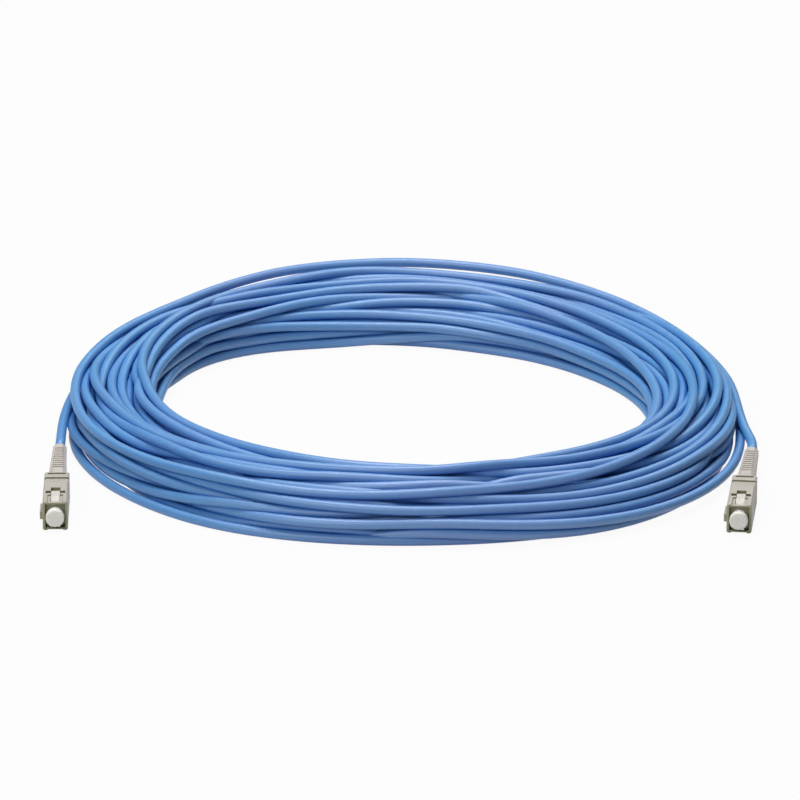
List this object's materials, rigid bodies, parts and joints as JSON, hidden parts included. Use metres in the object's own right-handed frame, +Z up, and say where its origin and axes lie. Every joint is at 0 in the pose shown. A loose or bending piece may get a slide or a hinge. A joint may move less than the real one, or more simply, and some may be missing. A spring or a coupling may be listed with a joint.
{
  "type": "fibre optic patch cord",
  "caption": "Simplex fibre patch cord: a loose flat coil of blue cable with a square keyed push-pull SC plug, ribbed boot and dust cap on each end.",
  "frame": {"origin": "on the surface the cord lies on, midway between the two plugs", "axes": "+Z up, -Y the way the plugs' noses point, +X from the left plug to the right one"},
  "size_m": [0.2148, 0.211, 0.021],
  "materials": {
    "cable_jacket": "satin PVC cable jacket, mid blue",
    "grip_plastic": "warm grey moulded plastic",
    "frame_plastic": "warm grey moulded plastic",
    "boot_rubber": "soft warm grey rubber",
    "cap_plastic": "milky translucent plastic",
    "ceramic": "polished white ceramic",
    "flange_metal": "nickel-plated turned metal",
    "spring_steel": "bright spring wire",
    "stop_metal": "nickel-plated turned metal",
    "crimp_metal": "plain drawn brass",
    "fibre_buffer": "white buffered fibre"
  },
  "bodies": {
    "cord": {"cable_coil": "cable_jacket", "left_lead": "cable_jacket", "right_lead": "cable_jacket", "left_plug_frame": "frame_plastic", "left_spring": "spring_steel", "left_spring_stop": "stop_metal", "left_crimp_sleeve": "crimp_metal", "left_cable_tail": "cable_jacket", "left_fibre_buffer": "fibre_buffer", "left_boot": "boot_rubber", "right_plug_frame": "frame_plastic", "right_spring": "spring_steel", "right_spring_stop": "stop_metal", "right_crimp_sleeve": "crimp_metal", "right_cable_tail": "cable_jacket", "right_fibre_buffer": "fibre_buffer", "right_boot": "boot_rubber"},
    "left_grip": {"left_grip_housing": "grip_plastic"},
    "left_ferrule_set": {"left_ferrule": "ceramic", "left_ferrule_flange": "flange_metal"},
    "left_cap": {"left_dust_cap": "cap_plastic"},
    "right_grip": {"right_grip_housing": "grip_plastic"},
    "right_ferrule_set": {"right_ferrule": "ceramic", "right_ferrule_flange": "flange_metal"},
    "right_cap": {"right_dust_cap": "cap_plastic"}
  },
  "joints": [
    {"name": "left_grip_slide", "type": "slide", "parent": "cord", "child": "left_grip", "axis": [-0.0244, 0.9997, 0], "range_m": [0, 0.0018]},
    {"name": "left_ferrule_push", "type": "slide", "parent": "cord", "child": "left_ferrule_set", "axis": [-0.0244, 0.9997, 0], "range_m": [0, 0.0015], "stiffness_N_per_m": 400, "springref_m": -0.0005, "deforming": ["left_spring"]},
    {"name": "left_cap_pull", "type": "slide", "parent": "cord", "child": "left_cap", "axis": [0.0244, -0.9997, 0], "range_m": [0, 0.012]},
    {"name": "right_grip_slide", "type": "slide", "parent": "cord", "child": "right_grip", "axis": [0.1167, 0.9932, 0], "range_m": [0, 0.0018]},
    {"name": "right_ferrule_push", "type": "slide", "parent": "cord", "child": "right_ferrule_set", "axis": [0.1167, 0.9932, 0], "range_m": [0, 0.0015], "stiffness_N_per_m": 400, "springref_m": -0.0005, "deforming": ["right_spring"]},
    {"name": "right_cap_pull", "type": "slide", "parent": "cord", "child": "right_cap", "axis": [-0.1167, -0.9932, 0], "range_m": [0, 0.012]}
  ]
}
